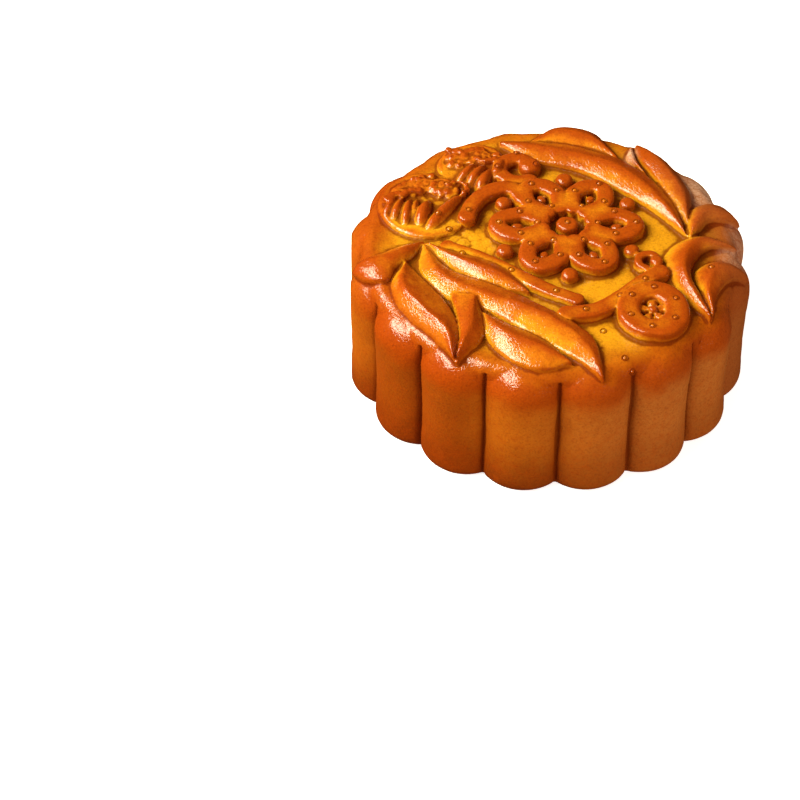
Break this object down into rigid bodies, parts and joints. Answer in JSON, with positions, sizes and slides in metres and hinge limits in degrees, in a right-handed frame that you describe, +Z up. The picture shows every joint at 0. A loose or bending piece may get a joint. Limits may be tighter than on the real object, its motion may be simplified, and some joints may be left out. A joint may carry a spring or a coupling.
{
  "type": "mooncake",
  "caption": "Round baked cake with a fluted side and a top carved with leaves, an open flower, curls and two fans; stands on its flat underside.",
  "frame": {"origin": "centre of the flat underside, on the surface the cake stands on", "axes": "+Z up through the carved top; +X to the right and +Y away when the disc with the small flower is at the right front rim"},
  "size_m": [0.079, 0.079, 0.0333],
  "materials": {
    "crust": "glossy egg-washed baked crust, caramel brown on the crests and golden in the hollows"
  },
  "bodies": {
    "root": {"mooncake": "crust"}
  },
  "joints": []
}
